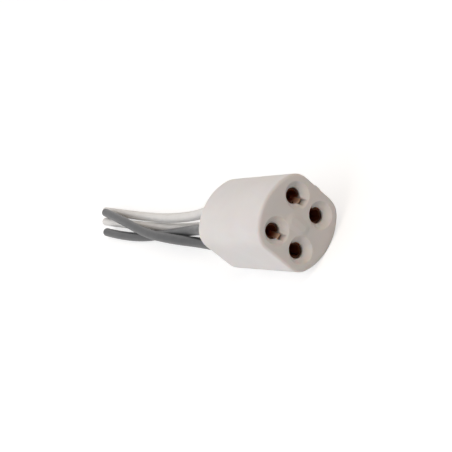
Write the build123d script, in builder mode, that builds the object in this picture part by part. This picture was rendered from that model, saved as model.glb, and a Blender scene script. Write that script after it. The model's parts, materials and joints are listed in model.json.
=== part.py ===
"""Circular tube lamp holder: a moulded block that pushes onto the four pins of a ring-shaped lamp.

The block lies on one of its two rounded sides, as it comes to rest on a bench. +X points out of the
pin face, +Z is up, and the origin is under the middle of the block. Four folded spring contacts sit in
keyed cavities behind the pin holes. Each one is crimped to a lead that leaves through the back, bends
down to the bench and lies on it. All sizes are in millimetres.
"""
from build123d import *
import os
from math import asin, degrees, pi, radians, sqrt, tan

# Housing: outer form
housing_length = 22.4        # from the pin face to the back
housing_width = 15.9         # across the two flats
housing_height = 16.7        # over the two rounded sides
side_radius = 11.6           # of the rounded sides
corner_radius = 4.1          # where a rounded side turns into a flat
rim_round = 0.6              # edge round the pin face and round the back
rib_width = 1.2              # guide rib along the middle of one flat
rib_height = 0.2
rib_sink = 0.3               # how deep the rib's profile starts inside the block

# Pin face: four holes on the corners of a rectangle
pin_pitch_across = 7.92      # across the flats
pin_pitch_along = 6.35       # along the flats
funnel_diameter = 5.3        # bowl-shaped lead-in round each hole, where it meets the face
funnel_depth = 1.5
guide_wall = 0.3             # thin plastic shoulder between the bowl and the cavity
slot_width = 1.4             # keyway for the contact's lug
slot_reach = 2.45            # from the hole's middle to the keyway's end
slot_overrun = 0.2           # how far the keyway runs on past the lug's root
face_bar_length = 5.6        # low raised bar between the two rows of holes, at its foot
face_bar_width = 3.2
face_bar_height = 0.3
face_bar_flank = 1.0         # width of its sloping sides
face_bar_shift = 0.4         # from the middle of the face towards sockets 3 and 4

# Contacts: strip folded into an open-seamed sleeve, a crimp and an insulation grip
strip = 0.3                  # thickness of the bronze strip
sleeve_bore = 2.3            # springs onto a lamp's pin
sleeve_gap = 0.2             # from the cavity's front to the sleeve
seam = 0.15                  # gap where the edges of the rolled strip meet
lug_side_gap = 0.1           # from the lug to the keyway's sides
lug_end_gap = 0.25           # from the lug to the keyway's end
lug_depth = 1.8              # top of the lug below the pin face
window_length = 2.0          # opening in the sleeve that the lug is bent out of
barb_length = 2.4            # springs out behind the shoulder, so that the contact can't be pushed out
barb_width = 0.9
barb_drop = 0.3              # from the shoulder to the barb's tip
barb_clearance = 0.1         # from the barb to the cavity's wall
neck_length = 2.2            # from the sleeve to the crimp
neck_width = 1.2
crimp_length = 3.0
grip_length = 1.9
grip_clearance = 0.1         # from the grip to the back of the cavity

# Leads: stranded copper in a soft sheath
lead_diameter = 2.4
strand_diameter = 1.04
strand_bared = 4.4           # stripped length inside the contact
strand_past_crimp = 1.1      # of which this much stands out in front of the crimp
lead_tuck = 1.9              # length of sheath inside the cavity

# Cavities and wire holes in the housing
hole_clearance = 0.1         # round the sleeve where it was pushed in through the hole
cavity_clearance = 0.3       # round the sleeve in the cavity
back_wall = 2.8              # plastic behind the cavity
wire_clearance = 0.1         # round a lead in the back wall
wire_mouth = 0.4             # chamfer where a lead leaves

# Heights, places and fits that follow from the sizes above
axis_height = housing_height / 2
face_x = (housing_length - face_bar_height) / 2
back_x = face_x - housing_length
across = pin_pitch_across / 2
along = pin_pitch_along / 2
sleeve_diameter = sleeve_bore + 2 * strip
pin_hole_diameter = sleeve_diameter + 2 * hole_clearance
cavity_diameter = sleeve_diameter + 2 * cavity_clearance
lug_width = slot_width - 2 * lug_side_gap
lug_offset = slot_reach - lug_end_gap - strip
cavity_front = face_x - funnel_depth - guide_wall
cavity_back = back_x + back_wall
sheath_end = cavity_back + lead_tuck
strand_front = sheath_end + strand_bared
grip_front = cavity_back + grip_clearance + grip_length
crimp_front = strand_front - strand_past_crimp
crimp_back = crimp_front - crimp_length
sleeve_front = cavity_front - sleeve_gap
sleeve_back = crimp_front + neck_length
lug_top = face_x - lug_depth
lug_root = sleeve_front - window_length
keyway_back = lug_root - strip - slot_overrun
barb_root = sleeve_front - barb_length
barb_tip = cavity_front - barb_drop

# The bowls are parts of spheres: the middle of the sphere is on the hole's axis, in front of the face
rim_radius = pin_hole_diameter / 2
brim_radius = funnel_diameter / 2
bowl_middle = (brim_radius**2 - rim_radius**2 - funnel_depth**2) / (2 * funnel_depth)
bowl_radius = sqrt(brim_radius**2 + bowl_middle**2)
pin_section = Plane(origin=(face_x, 0, axis_height), x_dir=(0, 1, 0), z_dir=(1, 0, 0))

# Holes in the order used for every name below: the middle of each in the face, across and up, and the way
# its keyway points: down from the upper ones, up from the lower ones
socket_places = [(across, along), (across, -along), (-across, along), (-across, -along)]
keyway_ways = [-1, 1, -1, 1]

# Routes of the leads, point by point from inside the cavity to the cut end lying on the bench
start_x = sheath_end
first_bend_x = back_x - 4.85
lead_names = ["lead_white_1", "lead_white_2", "lead_grey_1", "lead_grey_2"]
lead_routes = [
    [(-31.2, 4.0, 6.3), (-52.8, 4.4, 4.1), (-81.4, 7.7, 1.25), (-107.4, 10.1, 1.3)],
    [(-34.6, 3.4, 2.2), (-56.4, 3.5, 1.25), (-80.6, 4.6, 1.25), (-102.1, 6.2, 1.25)],
    [(-32.2, 0.1, 5.8), (-53.2, 1.4, 1.9), (-76.0, 0.1, 1.25), (-96.1, 1.8, 1.25)],
    [(-29.4, -2.3, 4.1), (-45.9, -1.7, 4.3), (-62.9, 0.1, 4.0), (-85.3, 4.8, 4.0),
     (-100.4, 7.6, 3.4)],
]
bend_share = 0.45            # part of the shorter run that each bend uses up


def slice_plane(x, place):
    """Section across one socket at a distance along the block, with its own local centre."""
    return Plane(origin=(x, place[0], axis_height + place[1]), x_dir=(0, 1, 0), z_dir=(1, 0, 0))


def key_plane(x, place, way):
    """The same section with its local x pointing the way the keyway points."""
    return Plane(origin=(x, place[0], axis_height + place[1]), x_dir=(0, 0, way), z_dir=(1, 0, 0))


def side_plane(place, way):
    """Plane through a socket's axis and its keyway: local x runs outwards, local y is the distance along the block."""
    return Plane(origin=(0, place[0], axis_height + place[1]), x_dir=(0, 0, way), z_dir=(0, way, 0))


def cross_plane(place, way):
    """Plane through a socket's axis and square to its keyway: local x runs outwards, local y along the block."""
    return Plane(origin=(0, place[0], axis_height + place[1]), x_dir=(0, way, 0), z_dir=(0, 0, -way))


# Housing: the outline is a strip between the flats, cut by two large circles, with its corners rounded
with BuildPart() as housing:
    with BuildSketch(pin_section) as outline:
        Rectangle(housing_width, 2 * housing_height)
        for side in (-1, 1):
            with Locations((0, side * (housing_height / 2 - side_radius))):
                Circle(side_radius, mode=Mode.INTERSECT)
        fillet(outline.vertices(), corner_radius)
    extrude(amount=-housing_length)
    face_edges = housing.faces().sort_by(Axis.X)[-1].edges()
    back_edges = housing.faces().sort_by(Axis.X)[0].edges()
    fillet(face_edges + back_edges, rim_round)

    # Guide rib on the flat beside sockets 1 and 2, short of the rounded rims
    with BuildSketch(pin_section.offset(-rim_round)):
        with Locations((housing_width / 2 + (rib_height - rib_sink) / 2, 0)):
            Rectangle(rib_height + rib_sink, rib_width)
    extrude(amount=-(housing_length - 2 * rim_round))

    # Low bar on the pin face, with sloping sides
    with BuildSketch(pin_section):
        with Locations((-face_bar_shift, 0)):
            SlotOverall(face_bar_length, face_bar_width, rotation=90)
    with BuildSketch(pin_section.offset(face_bar_height)):
        with Locations((-face_bar_shift, 0)):
            SlotOverall(
                face_bar_length - 2 * face_bar_flank, face_bar_width - 2 * face_bar_flank, rotation=90
            )
    loft(ruled=True)

    # Cavities, pin holes, lead-in bowls, keyways and wire holes
    for place, way in zip(socket_places, keyway_ways):
        with BuildSketch(slice_plane(cavity_front, place)):
            Circle(cavity_diameter / 2)
        extrude(amount=-(cavity_front - cavity_back), mode=Mode.SUBTRACT)
        with BuildSketch(slice_plane(face_x + face_bar_height, place)):
            Circle(pin_hole_diameter / 2)
        extrude(amount=-(face_x + face_bar_height - cavity_front), mode=Mode.SUBTRACT)
        with BuildSketch(side_plane(place, way)):
            with BuildLine():
                rim = (rim_radius, face_x - funnel_depth)
                brim = (brim_radius, face_x)
                RadiusArc(rim, brim, -bowl_radius)
                Polyline(
                    brim,
                    (brim_radius, face_x + face_bar_height),
                    (0, face_x + face_bar_height),
                    (0, face_x - funnel_depth),
                    rim,
                )
            make_face()
        socket_axis = Axis((0, place[0], axis_height + place[1]), (1, 0, 0))
        revolve(axis=socket_axis, mode=Mode.SUBTRACT)
        with BuildSketch(key_plane(face_x + face_bar_height, place, way)):
            with Locations((slot_reach / 2, 0)):
                Rectangle(slot_reach, slot_width)
        extrude(amount=-(face_x + face_bar_height - keyway_back), mode=Mode.SUBTRACT)
        with BuildSketch(slice_plane(cavity_back, place)):
            Circle(lead_diameter / 2 + wire_clearance)
        extrude(amount=-back_wall, mode=Mode.SUBTRACT)
    wire_rims = housing.faces().sort_by(Axis.X)[0].inner_wires().edges()
    chamfer(wire_rims, wire_mouth)
housing.part.label = "housing"


def rolled_strip(x, place, way, bore, gap):
    """Section of strip rolled into a tube: a ring, open by a gap on the side away from the lug."""
    outer = bore / 2 + strip
    with BuildSketch(key_plane(x, place, way)) as ring:
        Circle(outer)
        Circle(bore / 2, mode=Mode.SUBTRACT)
        with Locations((-outer, 0)):
            Rectangle(2 * outer, gap, mode=Mode.SUBTRACT)
    return ring.sketch


def strap(plane, points):
    """Side view of a flat piece of strip."""
    with BuildSketch(plane) as side_view:
        with BuildLine():
            Polyline(*points, close=True)
        make_face()
    return side_view.sketch


def flared_lug(plane):
    """Side view of the lug: strip that leaves the sleeve's wall at the window's back and curves outwards."""
    flare = lug_offset - sleeve_bore / 2
    rise = lug_top - lug_root
    curve = (flare**2 + rise**2) / (2 * flare)
    middle = (sleeve_bore / 2 + curve, lug_root)
    turn = degrees(asin(rise / curve))
    with BuildSketch(plane) as side_view:
        with BuildLine():
            inner = CenterArc(middle, curve, 180, -turn)
            outer = CenterArc(middle, curve - strip, 180, -turn)
            Line(inner @ 1, outer @ 1)
            Polyline(
                outer @ 0,
                (sleeve_diameter / 2, lug_root - strip),
                (sleeve_bore / 2, lug_root - strip),
                inner @ 0,
            )
        make_face()
    return side_view.sketch


def make_contact(name, place, way):
    """One spring contact: lug, sleeve, conductor crimp and insulation grip, joined by necks."""
    crimp_inner = strand_diameter / 2
    crimp_outer = crimp_inner + strip
    grip_inner = lead_diameter / 2
    grip_outer = grip_inner + strip
    sleeve_inner = sleeve_bore / 2
    sleeve_outer = sleeve_diameter / 2
    sleeve_middle = sleeve_inner + strip / 2
    window_profile = [
        (0, lug_root), (slot_reach, lug_root), (slot_reach, cavity_front), (0, cavity_front),
    ]
    barb_profile = [
        (sleeve_middle, barb_root), (sleeve_outer, barb_root),
        (cavity_diameter / 2 - barb_clearance, barb_tip), (sleeve_middle, barb_tip),
    ]
    front_neck_profile = [
        (sleeve_inner, sleeve_back + strip), (sleeve_outer, sleeve_back + strip),
        (sleeve_outer, sleeve_back), (crimp_outer, crimp_front - strip),
        (crimp_inner, crimp_front - strip), (crimp_inner, crimp_front), (sleeve_inner, sleeve_back),
    ]
    back_neck_profile = [
        (crimp_inner, crimp_back + strip), (crimp_outer, crimp_back + strip), (grip_outer, grip_front),
        (grip_outer, grip_front - strip), (grip_inner, grip_front - strip), (grip_inner, grip_front),
        (crimp_inner, crimp_back),
    ]
    key_side = side_plane(place, way)
    barb_side = cross_plane(place, way)
    sleeve_length = sleeve_front - sleeve_back
    window_width = lug_width + 2 * lug_side_gap
    with BuildPart() as contact:
        extrude(rolled_strip(sleeve_front, place, way, sleeve_bore, seam), amount=-sleeve_length)
        extrude(strap(key_side, window_profile), amount=window_width / 2, both=True, mode=Mode.SUBTRACT)
        extrude(rolled_strip(crimp_front, place, way, strand_diameter, seam), amount=-crimp_length)
        extrude(rolled_strip(grip_front, place, way, lead_diameter, seam), amount=-grip_length)
        extrude(flared_lug(key_side), amount=lug_width / 2, both=True)
        extrude(strap(barb_side, barb_profile), amount=barb_width / 2, both=True)
        extrude(strap(key_side, front_neck_profile), amount=neck_width / 2, both=True)
        extrude(strap(key_side, back_neck_profile), amount=neck_width / 2, both=True)
    contact.part.label = name
    return contact.part


def make_strands(name, place):
    """The stripped copper strands of one lead, held in the contact's crimp."""
    with BuildPart() as strands:
        with BuildSketch(slice_plane(strand_front, place)):
            Circle(strand_diameter / 2)
        extrude(amount=-strand_bared)
    strands.part.label = name
    return strands.part


def bend_radii(points):
    """Radius of each bend: a fixed share of the shorter run beside it, divided by the tangent of half the turn."""
    vectors = [Vector(*b) - Vector(*a) for a, b in zip(points, points[1:])]
    radii = []
    for before, after in zip(vectors, vectors[1:]):
        half_turn = radians(before.get_angle(after)) / 2
        radii.append(bend_share * min(before.length, after.length) / tan(half_turn))
    return radii


def make_lead(name, place, route):
    """One lead: a plain round tube along its route."""
    height = axis_height + place[1]
    points = [(start_x, place[0], height), (first_bend_x, place[0], height)] + route
    radii = bend_radii(points)
    print(name, "bend radii in mm:", [round(radius) for radius in radii])
    with BuildPart() as lead:
        with BuildLine() as path:
            FilletPolyline(*points, radius=radii)
        with BuildSketch(Plane(origin=points[0], z_dir=(-1, 0, 0))):
            Circle(lead_diameter / 2)
        sweep()
    lead.part.label = name
    length = path.wire().length
    expected = pi * (lead_diameter / 2) ** 2 * length
    print(name, "length", round(length, 1), "volume", round(lead.part.volume, 1), "expected", round(expected, 1))
    return lead.part


os.makedirs("parts", exist_ok=True)
export_step(housing.part, "parts/housing.step")
for number, (place, way) in enumerate(zip(socket_places, keyway_ways), start=1):
    export_step(make_contact(f"contact_{number}", place, way), f"parts/contact_{number}.step")
    export_step(make_strands(f"strands_{number}", place), f"parts/strands_{number}.step")
for name, place, route in zip(lead_names, socket_places, lead_routes):
    export_step(make_lead(name, place, route), f"parts/{name}.step")
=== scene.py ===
# %% [markdown]
# A lamp holder for a ring-shaped fluorescent tube. It is a white moulded block with four funnel-shaped
# pin holes in its face, a spring contact behind each hole, and four flexible leads that leave its back
# and lie on the bench. The block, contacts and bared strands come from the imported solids, and this
# lesson dresses them: camera, light, leads, finishes and the small things that the solids leave out.

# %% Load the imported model
import json
import math

import bpy
import numpy as np
from mathutils import Matrix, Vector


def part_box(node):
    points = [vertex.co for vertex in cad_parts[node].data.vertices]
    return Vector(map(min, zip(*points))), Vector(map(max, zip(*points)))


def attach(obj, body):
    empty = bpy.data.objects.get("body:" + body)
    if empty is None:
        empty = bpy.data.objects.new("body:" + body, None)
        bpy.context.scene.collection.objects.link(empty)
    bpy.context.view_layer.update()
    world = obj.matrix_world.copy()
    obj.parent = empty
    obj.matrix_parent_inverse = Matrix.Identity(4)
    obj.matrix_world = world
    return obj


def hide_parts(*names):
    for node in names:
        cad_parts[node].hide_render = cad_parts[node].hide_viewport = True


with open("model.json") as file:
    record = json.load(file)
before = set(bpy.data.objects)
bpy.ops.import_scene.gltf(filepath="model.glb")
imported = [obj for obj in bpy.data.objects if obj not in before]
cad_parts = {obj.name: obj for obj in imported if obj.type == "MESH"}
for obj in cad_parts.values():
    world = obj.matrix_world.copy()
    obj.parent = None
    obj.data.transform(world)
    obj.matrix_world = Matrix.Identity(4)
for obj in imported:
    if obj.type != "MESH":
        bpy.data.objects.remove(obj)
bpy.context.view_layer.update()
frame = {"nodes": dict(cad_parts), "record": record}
MM = 0.001
block_low, block_high = (np.array(corner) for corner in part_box("housing"))
block_centre = (block_low + block_high) / 2
print("block in mm", np.round((block_high - block_low) / MM, 2))

# %% [markdown]
# The photograph's camera looks at the pin face from its left and from above, and it is rolled, because
# the holder was photographed at a slant. The turn, the roll, the distance and the focal length were
# worked out from the four holes, whose spacing is known. A camera can be placed by three directions:
# what points right in the picture, what points up, and what points back at the viewer.

# %% Where the camera stands, from turn, roll, distance and focal length
PICTURE_SIZE = 452
FACE_TURN = math.radians(30.3)
ROLL = math.radians(34.9)
FOCAL_PIXELS = 885.0
DISTANCE = 161.9 * MM
FACE_PIXEL = np.array([299.06, 222.97])
BAR_HEIGHT = 0.3 * MM

face_centre = np.array([block_high[0] - BAR_HEIGHT, 0.0, block_centre[2]])
right = np.array([
    math.sin(FACE_TURN), math.sin(ROLL) * math.cos(FACE_TURN), -math.cos(ROLL) * math.cos(FACE_TURN)])
up = np.array([0.0, math.cos(ROLL), math.sin(ROLL)])
back = np.cross(right, up)
offset = (FACE_PIXEL - PICTURE_SIZE / 2) / FOCAL_PIXELS * DISTANCE
eye = face_centre - offset[0] * right + offset[1] * up + DISTANCE * back
print("eye at mm", np.round(eye / MM, 1))

# %% The camera
SENSOR = 36.0
NEAREST_SEEN = 5 * MM
FARTHEST_SEEN = 20.0


def turned_and_placed(right, up, back, place):
    """A 4 by 4 matrix with an object's three directions as columns, and its place as the last one."""
    matrix = np.eye(4)
    matrix[:3, 0], matrix[:3, 1], matrix[:3, 2], matrix[:3, 3] = right, up, back, place
    return Matrix(matrix)


def camera_at(place, right, up, back, lens):
    """A camera whose own X, Y and Z axes are the three directions, standing at place."""
    data = bpy.data.cameras.new("camera")
    data.sensor_width = SENSOR
    data.lens = lens
    data.clip_start = NEAREST_SEEN
    data.clip_end = FARTHEST_SEEN
    camera = bpy.data.objects.new("camera", data)
    bpy.context.scene.collection.objects.link(camera)
    camera.matrix_world = turned_and_placed(right, up, back, place)
    bpy.context.scene.camera = camera
    return camera


camera = camera_at(eye, right, up, back, FOCAL_PIXELS / PICTURE_SIZE * SENSOR)
print("lens in mm", round(camera.data.lens, 1))

# %% [markdown]
# A lead is a soft sheath on a stranded wire. It keeps its length, so it is best drawn as a line that a
# round section follows. A NURBS curve runs smoothly near its control points, and giving the points one by
# one lets each lead sag and cross its neighbours as in the photograph. The order is set after the
# points are added, because before that the curve has too few points to take it.

# %% Routes of the four leads, in millimetres
LEAD_DIAMETER = 2.4 * MM
lead_routes = {
    "lead_white_1": [
        (-6.65, 3.96, 11.525), (-16.2, 3.96, 11.525), (-31.2, 4.0, 6.3), (-52.8, 4.4, 4.1),
        (-81.4, 7.7, 1.25), (-107.4, 9.8, 1.3)],
    "lead_white_2": [
        (-6.65, 3.96, 5.175), (-16.2, 3.96, 5.175), (-34.6, 3.4, 2.2), (-56.4, 3.5, 1.25),
        (-80.6, 4.6, 1.25), (-102.1, 5.9, 1.25)],
    "lead_grey_1": [
        (-6.65, -3.96, 11.525), (-16.2, -3.96, 11.525), (-32.2, 0.1, 5.8), (-53.2, 1.4, 1.9),
        (-76.0, 0.1, 1.25), (-96.1, 2.1, 1.25)],
    "lead_grey_2": [
        (-6.65, -3.96, 5.175), (-16.2, -3.96, 5.175), (-29.4, -2.3, 4.1), (-45.9, -1.7, 4.3),
        (-62.9, 0.1, 4.0), (-85.3, 4.8, 4.0), (-100.4, 7.6, 3.4)],
}
print("points on each lead", {name: len(route) for name, route in lead_routes.items()})

# %% Leads as smooth curves
CURVE_STEPS = 16
SECTION_STEPS = 8


def lead_curve(name, route):
    """One open NURBS spline of order 3 through the neighbourhood of its points, with a round section. The
    section's radius is the bevel depth times the points' radius. Blender grows a curve's box by the
    points' radius, so that one holds the real size and the depth is 1."""
    data = bpy.data.curves.new(name, "CURVE")
    data.dimensions = "3D"
    data.bevel_depth = 1.0
    data.bevel_resolution = SECTION_STEPS
    data.use_fill_caps = True
    spline = data.splines.new("NURBS")
    spline.points.add(len(route) - 1)
    spline.points.foreach_set("co", np.c_[np.array(route) * MM, np.ones(len(route))].ravel())
    spline.points.foreach_set("radius", np.full(len(route), LEAD_DIAMETER / 2))
    spline.order_u = 3
    spline.use_endpoint_u = True
    spline.resolution_u = CURVE_STEPS
    lead = bpy.data.objects.new(name + "_sheath", data)
    bpy.context.scene.collection.objects.link(lead)
    return lead


leads = {name: lead_curve(name, route) for name, route in lead_routes.items()}
for name, lead in leads.items():
    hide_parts(name)
    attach(lead, "root")
print("leads", [lead.name for lead in leads.values()])

# %% [markdown]
# A cut end shows the bundle of fine copper strands inside the sheath: one in the middle, six round it and
# twelve round those. Each strand is a short tube with a domed tip. A tube is a surface with two
# parameters, the way round and the way along, so one grid of numbers makes a strand, and moving that grid
# to nineteen places makes the bundle.

# %% One strand, as a grid of points
STRAND_RADIUS = 0.104 * MM
STRAND_SHOWN = 0.22 * MM
STRAND_ROOT = 0.4 * MM
SMALLEST_RING = 0.02
ROUND_STEPS = 12
DOME_STEPS = 4


def ring_faces(count, around):
    """Quads between rings of points: two neighbours on a ring, and the same two on the ring after."""
    ring, step = np.meshgrid(np.arange(count - 1), np.arange(around), indexing="ij")
    after = (step + 1) % around
    corners = [
        ring * around + step, ring * around + after,
        (ring + 1) * around + after, (ring + 1) * around + step]
    return np.stack(corners, axis=-1).reshape(-1, 4)


def strand_rows():
    """Rings of one strand along +Z: a tube from below zero up, then rings that shrink as the cosine of an
    angle while their height grows as its sine, which is a dome."""
    angle = np.linspace(0, 2 * math.pi, ROUND_STEPS, endpoint=False)
    lift = np.linspace(0, math.pi / 2, DOME_STEPS + 1)
    radius = np.r_[STRAND_RADIUS, STRAND_RADIUS * np.maximum(np.cos(lift), SMALLEST_RING)]
    height = np.r_[-STRAND_ROOT, STRAND_SHOWN + STRAND_RADIUS * np.sin(lift)]
    ring = np.stack([np.cos(angle), np.sin(angle)], axis=-1)
    flat = radius[:, None, None] * ring[None]
    rise = np.broadcast_to(height[:, None, None], (len(height), ROUND_STEPS, 1))
    return np.concatenate([flat, rise], axis=-1)


print("points of one strand", strand_rows().size // 3)

# %% The bundle at each cut end
RINGS_OF_STRANDS = ((1, 6), (2, 12))
RING_TWIST = 0.2
UNEVEN_CUT = 0.06


def bundle_places():
    """The strands' middles: one, then rings of six and twelve, each a strand's width further out."""
    places = [(0.0, 0.0)]
    for ring, count in RINGS_OF_STRANDS:
        turn = np.arange(count) / count * 2 * math.pi + RING_TWIST * ring
        out = 2 * ring * STRAND_RADIUS
        places += [(out * math.cos(angle), out * math.sin(angle)) for angle in turn]
    return np.array(places)


def cut_end(name, route):
    """The bundle at the last point of a lead's route, along its last run."""
    points = np.array(route) * MM
    along = points[-1] - points[-2]
    along /= np.linalg.norm(along)
    across = np.cross(along, (0, 0, 1))
    across /= np.linalg.norm(across)
    axes = np.stack([across, np.cross(along, across), along])
    strand = strand_rows()
    places = bundle_places()
    lengths = np.random.default_rng(len(name)).uniform(-UNEVEN_CUT, UNEVEN_CUT, len(places)) * MM
    rows = np.repeat(strand[None], len(places), axis=0)
    rows[..., :2] += places[:, None, None]
    rows[:, 1:, :, 2] += lengths[:, None, None]
    vertices = rows.reshape(-1, 3) @ axes + points[-1]
    size = strand.shape[0] * strand.shape[1]
    faces = ring_faces(*strand.shape[:2])[None] + np.arange(len(places))[:, None, None] * size
    mesh = bpy.data.meshes.new(name)
    mesh.from_pydata(vertices.tolist(), [], faces.reshape(-1, 4).tolist())
    mesh.polygons.foreach_set("use_smooth", np.ones(len(mesh.polygons), dtype=bool))
    piece = bpy.data.objects.new(name, mesh)
    bpy.context.scene.collection.objects.link(piece)
    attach(piece, "root")
    return piece


cut_ends = {
    name: cut_end(name.replace("lead", "cut_strands"), route) for name, route in lead_routes.items()}
print("cut ends", [piece.name for piece in cut_ends.values()])

# %% [markdown]
# Every finish is made of shader nodes that read the object's own coordinates, so it stays put when the
# object is seen from another side. A few helpers say once how a noise, a blend, a bump and a change of
# roughness are wired, and each finish below is then a short list of them.

# %% Helpers for nodes


def new_material(name):
    """An empty node material with a Principled shader, and both of its node makers."""
    material = bpy.data.materials.new(name)
    material.use_nodes = True
    nodes = material.node_tree.nodes
    shader = nodes["Principled BSDF"]
    return material, nodes, material.node_tree.links, shader


def object_noise(nodes, links, scale, detail, roughness):
    """Noise on the object's own coordinates. Scale is in cells per metre."""
    coordinates = nodes.new("ShaderNodeTexCoord")
    noise = nodes.new("ShaderNodeTexNoise")
    noise.inputs["Scale"].default_value = scale
    noise.inputs["Detail"].default_value = detail
    noise.inputs["Roughness"].default_value = roughness
    links.new(coordinates.outputs["Object"], noise.inputs["Vector"])
    return noise.outputs["Fac"]


def ranged(nodes, links, value, start, end, low=0.0, high=1.0):
    """From low to high, evenly, as the value goes from start to end, and level before and after."""
    spread = nodes.new("ShaderNodeMapRange")
    for name, number in (("From Min", start), ("From Max", end), ("To Min", low), ("To Max", high)):
        spread.inputs[name].default_value = number
    links.new(value, spread.inputs["Value"])
    return spread.outputs["Result"]


def worked_out(nodes, links, operation, *values):
    """The result of one sum on one or two values. A value is a number or a socket."""
    node = nodes.new("ShaderNodeMath")
    node.operation = operation
    for socket, value in zip(node.inputs, values):
        if isinstance(value, bpy.types.NodeSocket):
            links.new(value, socket)
        else:
            socket.default_value = value
    return node.outputs[0]


# %% Helpers for finishes
RAMP_START = 0.35
RAMP_END = 0.65


def colour_between(nodes, links, value, low, high):
    """Colours from low to high over the middle of a noise's values."""
    ramp = nodes.new("ShaderNodeValToRGB")
    for element, where, colour in zip(ramp.color_ramp.elements, (RAMP_START, RAMP_END), (low, high)):
        element.position = where
        element.color = (*colour, 1)
    links.new(value, ramp.inputs["Fac"])
    return ramp.outputs["Color"]


def blend_colour(nodes, links, share, first, second):
    """First colour at share zero, second at share one. A colour is three numbers or a socket."""
    mix = nodes.new("ShaderNodeMix")
    mix.data_type = "RGBA"
    links.new(share, mix.inputs["Factor"])
    for name, colour in (("A", first), ("B", second)):
        if isinstance(colour, tuple):
            mix.inputs[name].default_value = (*colour, 1)
        else:
            links.new(colour, mix.inputs[name])
    return mix.outputs["Result"]


def bump_from(nodes, links, shader, value, height):
    """A bump of that height in metres, added to the shader's normal."""
    bump = nodes.new("ShaderNodeBump")
    bump.inputs["Strength"].default_value = 1.0
    bump.inputs["Distance"].default_value = height
    links.new(value, bump.inputs["Height"])
    links.new(bump.outputs["Normal"], shader.inputs["Normal"])
    return bump


def roughness_between(nodes, links, shader, value, low, high):
    """Roughness that goes evenly from low to high as a value goes from zero to one."""
    roughness = ranged(nodes, links, value, start=0, end=1, low=low, high=high)
    links.new(roughness, shader.inputs["Roughness"])


# %% [markdown]
# Moulded plastic is almost one colour, but not quite: the melt leaves broad faint patches, the tool's
# surface leaves a fine grain, and the gloss is broken by both. A little light goes in and comes out
# again, warmer, next to an edge, which makes the rim of the face look beige. The Bevel node rounds the
# shading of edges that are sharp in the solid.

# %% Moulded white plastic of the block
PLASTIC_DARKER = (0.745, 0.716, 0.705)
PLASTIC_LIGHTER = (0.765, 0.740, 0.731)
PLASTIC_GRAIN_HEIGHT = 0.012 * MM
EDGE_RADIUS = 0.3 * MM
EDGE_SAMPLES = 6
LIGHT_REACH = 0.8 * MM


def moulded_plastic():
    """Warm white, with faint broad patches, a fine tool grain and a soft gloss."""
    material, nodes, links, shader = new_material("moulded_white_plastic")
    patches = object_noise(nodes, links, scale=160, detail=3, roughness=0.55)
    grain = object_noise(nodes, links, scale=5200, detail=4, roughness=0.6)
    tone = colour_between(nodes, links, patches, PLASTIC_DARKER, PLASTIC_LIGHTER)
    links.new(tone, shader.inputs["Base Color"])
    roughness_between(nodes, links, shader, grain, low=0.36, high=0.52)
    bump = bump_from(nodes, links, shader, grain, PLASTIC_GRAIN_HEIGHT)
    soft_edges = nodes.new("ShaderNodeBevel")
    soft_edges.samples = EDGE_SAMPLES
    soft_edges.inputs["Radius"].default_value = EDGE_RADIUS
    links.new(soft_edges.outputs["Normal"], bump.inputs["Normal"])
    shader.inputs["IOR"].default_value = 1.5
    shader.inputs["Subsurface Weight"].default_value = 0.5
    shader.inputs["Subsurface Radius"].default_value = (1.0, 0.6, 0.4)
    shader.inputs["Subsurface Scale"].default_value = LIGHT_REACH
    return material


finishes = {"housing_plastic": moulded_plastic()}
print("block's finish", finishes["housing_plastic"].name)

# %% [markdown]
# A sheath is softer and shinier than the block. Its plastic is pressed round the strands, so it has no
# grain of a tool, only a slight unevenness, and its gloss varies a little along it.

# %% Soft sheaths, white and dark grey
SHEATH_GRAIN_HEIGHT = 0.01 * MM
GLOSS_SPREAD = 0.16


def sheath(name, low, high, rough):
    """Soft plastic pressed round the strands: faint patches, a slight unevenness and a varying gloss."""
    material, nodes, links, shader = new_material(name)
    patches = object_noise(nodes, links, scale=260, detail=3, roughness=0.6)
    grain = object_noise(nodes, links, scale=3600, detail=3, roughness=0.6)
    links.new(colour_between(nodes, links, patches, low, high), shader.inputs["Base Color"])
    roughness_between(nodes, links, shader, grain, rough, rough + GLOSS_SPREAD)
    bump_from(nodes, links, shader, grain, SHEATH_GRAIN_HEIGHT)
    shader.inputs["IOR"].default_value = 1.5
    shader.inputs["Specular IOR Level"].default_value = 0.35
    return material


finishes["white_sheath"] = sheath(
    "soft_white_sheath", low=(0.735, 0.72, 0.70), high=(0.775, 0.76, 0.74), rough=0.34)
finishes["grey_sheath"] = sheath(
    "soft_grey_sheath", low=(0.052, 0.053, 0.055), high=(0.068, 0.069, 0.072), rough=0.30)
print("sheaths' finishes", finishes["white_sheath"].name, finishes["grey_sheath"].name)

# %% [markdown]
# The contacts are spring bronze and the strands bare copper. Metal has its colour in its reflections, so
# both are metallic, with patches where they have dulled and fine marks from drawing. Inside the sleeves
# the bronze is painted a dark red-brown, and nearly black on their front edges: painted shade, where
# little light reaches down the holes. The lugs keep the plain bronze. Where a point is tells which it
# belongs to.

# %% Copper alloys, and the bare copper of the strands
DRAWING_MARK_HEIGHT = 0.006 * MM
MARK_SPREAD = 0.2


def worked_copper(name, low, high, rough):
    """Copper alloy with patches where it has dulled, and fine drawing marks."""
    material, nodes, links, shader = new_material(name)
    patches = object_noise(nodes, links, scale=900, detail=4, roughness=0.6)
    marks = object_noise(nodes, links, scale=9000, detail=2, roughness=0.5)
    links.new(colour_between(nodes, links, patches, low, high), shader.inputs["Base Color"])
    roughness_between(nodes, links, shader, marks, rough, rough + MARK_SPREAD)
    bump_from(nodes, links, shader, marks, DRAWING_MARK_HEIGHT)
    shader.inputs["Metallic"].default_value = 1.0
    return material, nodes, links, shader


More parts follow.
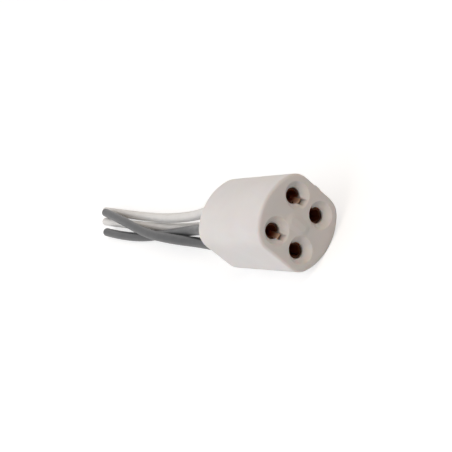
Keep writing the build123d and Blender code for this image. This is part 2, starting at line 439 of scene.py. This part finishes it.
finishes["copper_strands"] = worked_copper(
    "bare_copper", low=(0.80, 0.38, 0.20), high=(0.93, 0.52, 0.33), rough=0.25)[0]
print("strands' finish", finishes["copper_strands"].name)

# %% Bronze of the contacts, with painted shade in the sleeves and plain on the lugs
SLEEVE_OFF = 2.05 * MM
LUG_OFF = 1.75 * MM
LUG_ROOT_START = 7.1 * MM
LUG_ROOT_END = 7.5 * MM
LUG_METAL = 0.35
EDGE_START = 8.95 * MM
EDGE_END = 9.01 * MM
# Painted shade: a dark red-brown for the sleeves' insides and a near black for their front edges, where
# the holes are in shade.
SLEEVE_PAINTED_SHADE = (0.42, 0.13, 0.05)
EDGE_PAINTED_SHADE = (0.05, 0.022, 0.012)
BRONZE_DULL = (0.94, 0.63, 0.43)
BRONZE_BRIGHT = (1.0, 0.74, 0.54)


def spring_bronze():
    """Worked copper painted dark red-brown inside the sleeves and nearly black on their front edges, which
    is painted shade where little light reaches, and left plain on the lugs. A lug is nearer to the block's
    middle height than a sleeve's wall is. The pins that scrape over a lug leave it matt, so part of the
    light on it is scattered as on paint."""
    material, nodes, links, shader = worked_copper(
        "spring_bronze", low=BRONZE_DULL, high=BRONZE_BRIGHT, rough=0.36)
    worn = shader.inputs["Base Color"].links[0].from_socket
    coordinates = nodes.new("ShaderNodeTexCoord")
    parts = nodes.new("ShaderNodeSeparateXYZ")
    links.new(coordinates.outputs["Object"], parts.inputs["Vector"])
    height = worked_out(nodes, links, "SUBTRACT", parts.outputs["Z"], block_centre[2])
    off = worked_out(nodes, links, "ABSOLUTE", height)
    off_pin_line = ranged(nodes, links, off, SLEEVE_OFF, LUG_OFF)
    in_front = ranged(nodes, links, parts.outputs["X"], LUG_ROOT_START, LUG_ROOT_END)
    lug = worked_out(nodes, links, "MULTIPLY", off_pin_line, in_front)
    # Painted shade: the sleeves go from red-brown to near black at their front edges, and the lugs keep
    # the plain bronze.
    edge = ranged(nodes, links, parts.outputs["X"], EDGE_START, EDGE_END)
    sleeve = blend_colour(nodes, links, edge, SLEEVE_PAINTED_SHADE, EDGE_PAINTED_SHADE)
    links.new(blend_colour(nodes, links, lug, sleeve, worn), shader.inputs["Base Color"])
    metal = ranged(nodes, links, lug, start=0, end=1, low=1.0, high=LUG_METAL)
    links.new(metal, shader.inputs["Metallic"])
    return material


finishes["contact_bronze"] = spring_bronze()
print("contacts' finish", finishes["contact_bronze"].name)

# %% [markdown]
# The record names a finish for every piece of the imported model, and the leads and the cut ends that were
# made here take theirs from the same list, so that pieces of one kind look alike.

# %% Every piece gets its finish


def dress(piece, material):
    """Gives the whole piece one finish."""
    piece.data.materials.clear()
    piece.data.materials.append(material)


for entry in frame["record"]["subparts"]:
    dress(frame["nodes"][entry["node"]], finishes[entry["material_slot"]])
for name, lead in leads.items():
    dress(lead, finishes["white_sheath" if "white" in name else "grey_sheath"])
for piece in cut_ends.values():
    dress(piece, finishes["copper_strands"])

# %% [markdown]
# The photograph's background is pure white, and the block leaves hardly any shadow on it. The floor here
# is a sheet of white paper that keeps its shadow. It glows a little where the camera sees it, directly or
# in a reflection, so that it looks white without lighting the object much. The Light Path node tells what
# a ray is for.

# %% Paper that looks white and keeps its shadow
PAPER = (0.55, 0.55, 0.55, 1)
GLOW_NEAR = 0.62
GLOW_FAR = 0.72
NEAR = 0.3
FAR = 1.6


def seen_directly(nodes, links):
    """One for the camera's rays and for those that mirrors and glass send on, zero for the rest."""
    rays = nodes.new("ShaderNodeLightPath")
    seen = rays.outputs["Is Camera Ray"]
    for name in ("Is Glossy Ray", "Is Transmission Ray"):
        seen = worked_out(nodes, links, "MAXIMUM", seen, rays.outputs[name])
    return seen


def floor_paper():
    """Diffuse white, plus a glow that only the camera, mirrors and glass see. The lamp lights the floor
    near the block, so the glow grows with the distance from it, and the paper is as white further out."""
    material = bpy.data.materials.new("white_paper_floor")
    material.use_nodes = True
    nodes, links = material.node_tree.nodes, material.node_tree.links
    nodes.clear()
    output = nodes.new("ShaderNodeOutputMaterial")
    diffuse = nodes.new("ShaderNodeBsdfDiffuse")
    diffuse.inputs["Color"].default_value = PAPER
    coordinates = nodes.new("ShaderNodeTexCoord")
    away = nodes.new("ShaderNodeVectorMath")
    away.operation = "LENGTH"
    links.new(coordinates.outputs["Object"], away.inputs[0])
    level = ranged(nodes, links, away.outputs["Value"], NEAR, FAR, GLOW_NEAR, GLOW_FAR)
    glow = nodes.new("ShaderNodeEmission")
    strength = worked_out(nodes, links, "MULTIPLY", seen_directly(nodes, links), level)
    links.new(strength, glow.inputs["Strength"])
    both = nodes.new("ShaderNodeAddShader")
    links.new(diffuse.outputs[0], both.inputs[0])
    links.new(glow.outputs[0], both.inputs[1])
    links.new(both.outputs[0], output.inputs["Surface"])
    return material


paper = floor_paper()
print("paper", paper.name)

# %% Floor
FLOOR_SIZE = 12.0


def floor_sheet(size):
    """One square with its middle under the block."""
    corners = np.array([(-1, -1, 0), (1, -1, 0), (1, 1, 0), (-1, 1, 0)]) * size / 2
    mesh = bpy.data.meshes.new("floor")
    mesh.from_pydata(corners.tolist(), [], [(0, 1, 2, 3)])
    piece = bpy.data.objects.new("floor", mesh)
    bpy.context.scene.collection.objects.link(piece)
    return piece


floor = floor_sheet(FLOOR_SIZE)
dress(floor, paper)
print("floor", FLOOR_SIZE, "m wide")

# %% [markdown]
# The photograph's light is soft. The long sides that face the camera are the brightest, the pin face is
# greyer and warmer, and the bowls get lighter towards their lower walls. One large soft lamp above and
# beside the block lights its long sides. The room does the rest: it is plain behind the block, dark
# straight beside it, and has a bright warm band a little in front of it, which grazes the face and lights
# the bowls. How bright each has to be was found by rendering with one light at a time and solving for the
# mix that comes nearest to the photograph.

# %% Lamp


def lamp(name, direction, distance, size, watts, colour):
    """A square lamp at a distance in a direction from the block, turned to face it."""
    data = bpy.data.lights.new(name, "AREA")
    data.size = size
    data.energy = watts
    data.color = colour
    piece = bpy.data.objects.new(name, data)
    bpy.context.scene.collection.objects.link(piece)
    aim = np.array(direction, float)
    aim /= np.linalg.norm(aim)
    side = np.cross((0, 0, 1), aim)
    side /= np.linalg.norm(side)
    piece.matrix_world = turned_and_placed(side, np.cross(aim, side), aim, block_centre + aim * distance)
    return piece


main_lamp = lamp(
    "main_lamp", direction=(0.0, -0.74, 0.67), distance=0.9, size=0.9, watts=3.75,
    colour=(0.845, 0.92, 1.0))
print("lamp at mm", np.round(np.array(main_lamp.matrix_world.translation) / MM))

# %% Colours of the room
ROOM_TOP = 3.4
ROOM = [
    (-1.0, (0.64, 0.65, 0.67)),
    (-0.4, (0.64, 0.65, 0.67)),
    (0.0, (0.0, 0.0, 0.0)),
    (0.2, (0.36, 0.18, 0.04)),
    (0.4, (3.20, 2.90, 2.58)),
    (0.6, (0.0, 0.0, 0.0)),
]


def room_colours(ramp):
    """Puts the room's colours on a ramp, as shares of ROOM_TOP. A lean from -1 to 1 is at 0 to 1."""
    elements = ramp.color_ramp.elements
    elements.remove(elements[-1])
    for index, (lean, colour) in enumerate(ROOM):
        element = elements.new((lean + 1) / 2) if index else elements[0]
        element.color = (*(value / ROOM_TOP for value in colour), 1)
    return ramp.outputs["Color"]


print("leans that have a colour", [lean for lean, colour in ROOM])

# %% Room


def surroundings():
    """A room whose brightness and colour depend on how far a direction leans towards +X. ROOM gives the
    colour at each lean, and it is blended in between. The camera, mirrors and glass see plain white."""
    world = bpy.data.worlds.new("surroundings")
    world.use_nodes = True
    nodes, links = world.node_tree.nodes, world.node_tree.links
    coordinates = nodes.new("ShaderNodeTexCoord")
    parts = nodes.new("ShaderNodeSeparateXYZ")
    links.new(coordinates.outputs["Generated"], parts.inputs["Vector"])
    ramp = nodes.new("ShaderNodeValToRGB")
    links.new(ranged(nodes, links, parts.outputs["X"], start=-1, end=1), ramp.inputs["Fac"])
    room = nodes["Background"]
    links.new(room_colours(ramp), room.inputs["Color"])
    room.inputs["Strength"].default_value = ROOM_TOP
    white = nodes.new("ShaderNodeBackground")
    white.inputs["Color"].default_value = (1, 1, 1, 1)
    mix = nodes.new("ShaderNodeMixShader")
    links.new(seen_directly(nodes, links), mix.inputs["Fac"])
    links.new(room.outputs[0], mix.inputs[1])
    links.new(white.outputs[0], mix.inputs[2])
    links.new(mix.outputs[0], nodes["World Output"].inputs["Surface"])
    return world


bpy.context.scene.world = surroundings()
bpy.context.scene.view_settings.view_transform = "Standard"
print("world", bpy.context.scene.world.name)
